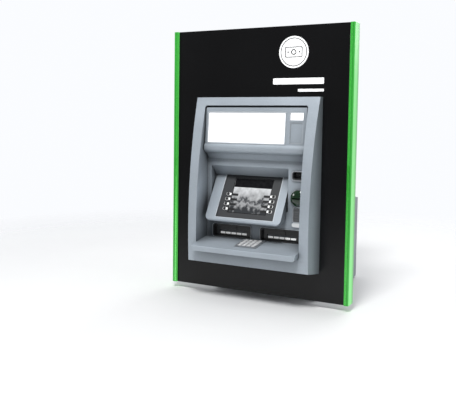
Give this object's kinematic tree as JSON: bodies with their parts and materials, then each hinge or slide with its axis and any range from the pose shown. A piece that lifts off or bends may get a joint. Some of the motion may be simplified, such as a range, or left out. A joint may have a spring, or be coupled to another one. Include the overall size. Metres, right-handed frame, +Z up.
{
  "type": "through-the-wall automated teller machine",
  "caption": "Through-the-wall cash machine: backlit black surround, silver fascia with lit sign, tilted screen and keypad shelf, rear cabinet and safe.",
  "frame": {"origin": "on the floor, at the centre of the safe's four floor anchor holes", "axes": "+Z up, +Y into the wall and away from the customer, +X to the customer's right"},
  "size_m": [1, 0.976, 1.38],
  "materials": {
    "face_sheet": "high gloss",
    "edge_light": "translucent, lit from inside",
    "tray_steel": "satin powder coat",
    "fascia": "fine-grain silver paint",
    "sign_acrylic": "white translucent, backlit",
    "lamp_board": "circuit board with lamps",
    "mask": "fine satin",
    "display": "satin",
    "mouth": "gloss",
    "card_green": "translucent gloss",
    "guide": "satin",
    "shutter": "satin",
    "pad_steel": "brushed",
    "key_face": "bead blasted",
    "menu_key": "satin",
    "cabinet": "fine texture powder coat",
    "latch": "black",
    "safe": "textured enamel",
    "handle": "polished",
    "dial": "satin black",
    "bare_steel": "ground",
    "module": "zinc plated",
    "cassette": "moulded, light grain",
    "reader": "moulded",
    "printer": "moulded",
    "paper": "thermal paper",
    "computer": "fine texture"
  },
  "bodies": {
    "housing": {"surround_panel": "face_sheet", "edge_strips": "edge_light", "surround_frame": "tray_steel", "fascia_frame": "fascia", "header_hood": "fascia", "sign_windows": "sign_acrylic", "sign_lamps": "lamp_board", "recess_panel": "fascia", "screen_bezel": "fascia", "screen_mask": "mask", "display_module": "display", "receipt_mouth": "guide", "card_bezel": "card_green", "card_guide": "guide", "cash_mouth": "mouth", "deposit_mouth": "mouth", "shelf": "fascia", "keypad_plate": "pad_steel", "cabinet": "cabinet", "safe_body": "safe", "hinge_pins": "bare_steel", "note_dispenser": "module", "cash_cassettes": "cassette", "deposit_module": "module", "card_reader": "reader", "receipt_printer": "printer", "pc_core": "computer"},
    "cash_shutter": {"cash_shutter": "shutter"},
    "deposit_shutter": {"deposit_shutter": "shutter"},
    "cabinet_door": {"cabinet_door": "cabinet"},
    "cabinet_latch": {"cabinet_latch": "latch"},
    "safe_door": {"safe_door": "safe"},
    "safe_handle": {"safe_handle": "handle"},
    "safe_dial": {"safe_dial": "dial"},
    "safe_bolts": {"safe_bolts": "bare_steel"},
    "paper_roll": {"paper_roll": "paper"},
    "key_11": {"key_11": "key_face"},
    "key_12": {"key_12": "key_face"},
    "key_13": {"key_13": "key_face"},
    "key_14": {"key_14": "key_face"},
    "key_21": {"key_21": "key_face"},
    "key_22": {"key_22": "key_face"},
    "key_23": {"key_23": "key_face"},
    "key_24": {"key_24": "key_face"},
    "key_31": {"key_31": "key_face"},
    "key_32": {"key_32": "key_face"},
    "key_33": {"key_33": "key_face"},
    "key_34": {"key_34": "key_face"},
    "key_41": {"key_41": "key_face"},
    "key_42": {"key_42": "key_face"},
    "key_43": {"key_43": "key_face"},
    "key_44": {"key_44": "key_face"},
    "menu_l1": {"menu_l1": "menu_key"},
    "menu_l2": {"menu_l2": "menu_key"},
    "menu_l3": {"menu_l3": "menu_key"},
    "menu_l4": {"menu_l4": "menu_key"},
    "menu_r1": {"menu_r1": "menu_key"},
    "menu_r2": {"menu_r2": "menu_key"},
    "menu_r3": {"menu_r3": "menu_key"},
    "menu_r4": {"menu_r4": "menu_key"}
  },
  "joints": [
    {"name": "cash_shutter_slide", "type": "slide", "parent": "housing", "child": "cash_shutter", "axis": [0, 0, 1], "range_m": [0, 0.026]},
    {"name": "deposit_shutter_slide", "type": "slide", "parent": "housing", "child": "deposit_shutter", "axis": [0, 0, 1], "range_m": [0, 0.026]},
    {"name": "cabinet_door_hinge", "type": "hinge", "parent": "housing", "child": "cabinet_door", "pos_m": [-0.304, 0.262, 0.815], "axis": [0, 0, 1], "range_deg": [0, 110]},
    {"name": "cabinet_latch_turn", "type": "hinge", "parent": "cabinet_door", "child": "cabinet_latch", "pos_m": [0.25, 0.262, 0.815], "axis": [0, -1, 0], "range_deg": [0, 90]},
    {"name": "safe_door_hinge", "type": "hinge", "parent": "housing", "child": "safe_door", "pos_m": [-0.304, 0.327, 0.24], "axis": [0, 0, 1], "range_deg": [0, 110]},
    {"name": "safe_handle_turn", "type": "hinge", "parent": "safe_door", "child": "safe_handle", "pos_m": [0.13, 0.346, 0.24], "axis": [0, 1, 0], "range_deg": [0, 90]},
    {"name": "safe_bolts_slide", "type": "slide", "parent": "safe_door", "child": "safe_bolts", "axis": [1, 0, 0], "range_m": [0, 0.02]},
    {"name": "safe_dial_turn", "type": "hinge", "parent": "safe_door", "child": "safe_dial", "pos_m": [-0.04, 0.346, 0.24], "axis": [0, 1, 0], "continuous": true},
    {"name": "paper_roll_turn", "type": "hinge", "parent": "housing", "child": "paper_roll", "pos_m": [0.235, -0.295, 0.763], "axis": [1, 0, 0], "continuous": true},
    {"name": "key_11_press", "type": "slide", "parent": "housing", "child": "key_11", "axis": [0, 0.165, -0.9863], "range_m": [0, 0.0025], "stiffness_N_per_m": 400, "springref_m": -0.0015},
    {"name": "key_12_press", "type": "slide", "parent": "housing", "child": "key_12", "axis": [0, 0.165, -0.9863], "range_m": [0, 0.0025], "stiffness_N_per_m": 400, "springref_m": -0.0015},
    {"name": "key_13_press", "type": "slide", "parent": "housing", "child": "key_13", "axis": [0, 0.165, -0.9863], "range_m": [0, 0.0025], "stiffness_N_per_m": 400, "springref_m": -0.0015},
    {"name": "key_14_press", "type": "slide", "parent": "housing", "child": "key_14", "axis": [0, 0.165, -0.9863], "range_m": [0, 0.0025], "stiffness_N_per_m": 400, "springref_m": -0.0015},
    {"name": "key_21_press", "type": "slide", "parent": "housing", "child": "key_21", "axis": [0, 0.165, -0.9863], "range_m": [0, 0.0025], "stiffness_N_per_m": 400, "springref_m": -0.0015},
    {"name": "key_22_press", "type": "slide", "parent": "housing", "child": "key_22", "axis": [0, 0.165, -0.9863], "range_m": [0, 0.0025], "stiffness_N_per_m": 400, "springref_m": -0.0015},
    {"name": "key_23_press", "type": "slide", "parent": "housing", "child": "key_23", "axis": [0, 0.165, -0.9863], "range_m": [0, 0.0025], "stiffness_N_per_m": 400, "springref_m": -0.0015},
    {"name": "key_24_press", "type": "slide", "parent": "housing", "child": "key_24", "axis": [0, 0.165, -0.9863], "range_m": [0, 0.0025], "stiffness_N_per_m": 400, "springref_m": -0.0015},
    {"name": "key_31_press", "type": "slide", "parent": "housing", "child": "key_31", "axis": [0, 0.165, -0.9863], "range_m": [0, 0.0025], "stiffness_N_per_m": 400, "springref_m": -0.0015},
    {"name": "key_32_press", "type": "slide", "parent": "housing", "child": "key_32", "axis": [0, 0.165, -0.9863], "range_m": [0, 0.0025], "stiffness_N_per_m": 400, "springref_m": -0.0015},
    {"name": "key_33_press", "type": "slide", "parent": "housing", "child": "key_33", "axis": [0, 0.165, -0.9863], "range_m": [0, 0.0025], "stiffness_N_per_m": 400, "springref_m": -0.0015},
    {"name": "key_34_press", "type": "slide", "parent": "housing", "child": "key_34", "axis": [0, 0.165, -0.9863], "range_m": [0, 0.0025], "stiffness_N_per_m": 400, "springref_m": -0.0015},
    {"name": "key_41_press", "type": "slide", "parent": "housing", "child": "key_41", "axis": [0, 0.165, -0.9863], "range_m": [0, 0.0025], "stiffness_N_per_m": 400, "springref_m": -0.0015},
    {"name": "key_42_press", "type": "slide", "parent": "housing", "child": "key_42", "axis": [0, 0.165, -0.9863], "range_m": [0, 0.0025], "stiffness_N_per_m": 400, "springref_m": -0.0015},
    {"name": "key_43_press", "type": "slide", "parent": "housing", "child": "key_43", "axis": [0, 0.165, -0.9863], "range_m": [0, 0.0025], "stiffness_N_per_m": 400, "springref_m": -0.0015},
    {"name": "key_44_press", "type": "slide", "parent": "housing", "child": "key_44", "axis": [0, 0.165, -0.9863], "range_m": [0, 0.0025], "stiffness_N_per_m": 400, "springref_m": -0.0015},
    {"name": "menu_l1_press", "type": "slide", "parent": "housing", "child": "menu_l1", "axis": [0, 0.866, -0.5], "range_m": [0, 0.002], "stiffness_N_per_m": 400, "springref_m": -0.0015},
    {"name": "menu_l2_press", "type": "slide", "parent": "housing", "child": "menu_l2", "axis": [0, 0.866, -0.5], "range_m": [0, 0.002], "stiffness_N_per_m": 400, "springref_m": -0.0015},
    {"name": "menu_l3_press", "type": "slide", "parent": "housing", "child": "menu_l3", "axis": [0, 0.866, -0.5], "range_m": [0, 0.002], "stiffness_N_per_m": 400, "springref_m": -0.0015},
    {"name": "menu_l4_press", "type": "slide", "parent": "housing", "child": "menu_l4", "axis": [0, 0.866, -0.5], "range_m": [0, 0.002], "stiffness_N_per_m": 400, "springref_m": -0.0015},
    {"name": "menu_r1_press", "type": "slide", "parent": "housing", "child": "menu_r1", "axis": [0, 0.866, -0.5], "range_m": [0, 0.002], "stiffness_N_per_m": 400, "springref_m": -0.0015},
    {"name": "menu_r2_press", "type": "slide", "parent": "housing", "child": "menu_r2", "axis": [0, 0.866, -0.5], "range_m": [0, 0.002], "stiffness_N_per_m": 400, "springref_m": -0.0015},
    {"name": "menu_r3_press", "type": "slide", "parent": "housing", "child": "menu_r3", "axis": [0, 0.866, -0.5], "range_m": [0, 0.002], "stiffness_N_per_m": 400, "springref_m": -0.0015},
    {"name": "menu_r4_press", "type": "slide", "parent": "housing", "child": "menu_r4", "axis": [0, 0.866, -0.5], "range_m": [0, 0.002], "stiffness_N_per_m": 400, "springref_m": -0.0015}
  ],
  "couplings": [
    {"joint": "safe_bolts_slide", "follows": "safe_handle_turn", "m_per_rad": 0.01273}
  ]
}
